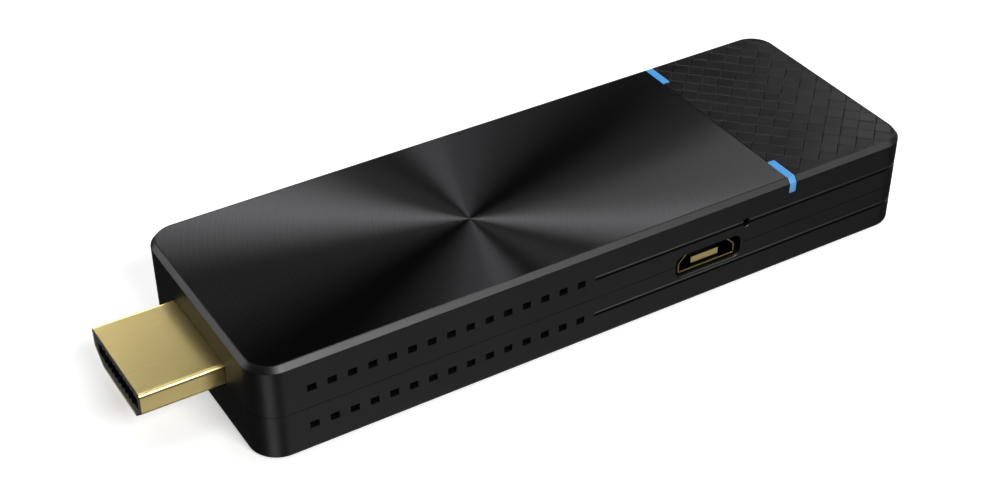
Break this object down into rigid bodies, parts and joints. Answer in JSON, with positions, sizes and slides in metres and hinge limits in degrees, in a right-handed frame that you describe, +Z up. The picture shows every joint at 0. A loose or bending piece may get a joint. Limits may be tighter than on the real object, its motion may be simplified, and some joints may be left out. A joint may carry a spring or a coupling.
{
  "type": "streaming media player",
  "caption": "Slim black stick with a gold display plug at one end, a spun-finish top panel, a tiled tail panel, side vents, a small power socket and blue light strips.",
  "frame": {"origin": "middle of the whole object's bounding box, on its bottom face", "axes": "+X from the display plug's mouth to the tail, +Y away from the side with the power socket, +Z up through the spun panel"},
  "size_m": [0.0996, 0.0308, 0.0126],
  "materials": {
    "casing_plastic": "satin moulded black ABS",
    "spun_black": "black anodised, spun in rings, glossy",
    "tile_black": "moulded relief of small tiles, satin",
    "adhesive_film": "clear acrylic film",
    "blue_guide": "translucent blue acrylic",
    "blue_lamp": "epoxy lens",
    "gold_plate": "gold plated, satin",
    "gold_contact": "gold plated, bright",
    "insulator_black": "moulded black",
    "board_laminate": "green solder mask",
    "steel": "nickel plated",
    "chip_epoxy": "moulded black epoxy",
    "silicone_pad": "soft grey-blue",
    "sink_aluminium": "extruded, bare",
    "ferrite": "sintered, dark grey",
    "capacitor_ceramic": "fired, tan",
    "tinned_steel": "tinned",
    "lead_jacket": "extruded black jacket",
    "foam": "closed-cell foam tape",
    "plunger_white": "moulded natural"
  },
  "bodies": {
    "stick": {"upper_casing": "casing_plastic", "lower_casing": "casing_plastic", "spun_panel": "spun_black", "textured_panel": "tile_black", "panel_adhesive": "adhesive_film", "light_guides": "blue_guide", "blue_leds": "blue_lamp", "plug_shell": "gold_plate", "plug_insulator": "insulator_black", "plug_contacts": "gold_contact", "socket_shell": "gold_plate", "socket_insulator": "insulator_black", "socket_contacts": "gold_contact", "socket_tongue_cap": "gold_contact", "main_board": "board_laminate", "board_screws": "steel", "processor": "chip_epoxy", "thermal_pad": "silicone_pad", "heat_sink": "sink_aluminium", "memory_chips": "chip_epoxy", "flash_chip": "chip_epoxy", "power_chip": "chip_epoxy", "power_coils": "ferrite", "capacitors": "capacitor_ceramic", "clock_crystal": "tinned_steel", "radio_board": "board_laminate", "radio_can": "tinned_steel", "lead_sockets": "gold_contact", "lead_plugs": "tinned_steel", "antenna_leads": "lead_jacket", "antenna_plates": "board_laminate", "antenna_foam": "foam", "reset_switch_case": "insulator_black"},
    "reset_button": {"reset_plunger": "plunger_white"}
  },
  "joints": [
    {"name": "reset_press", "type": "slide", "parent": "stick", "child": "reset_button", "axis": [0, 1, 0], "range_m": [0, 0.00025], "stiffness_N_per_m": 4000}
  ]
}
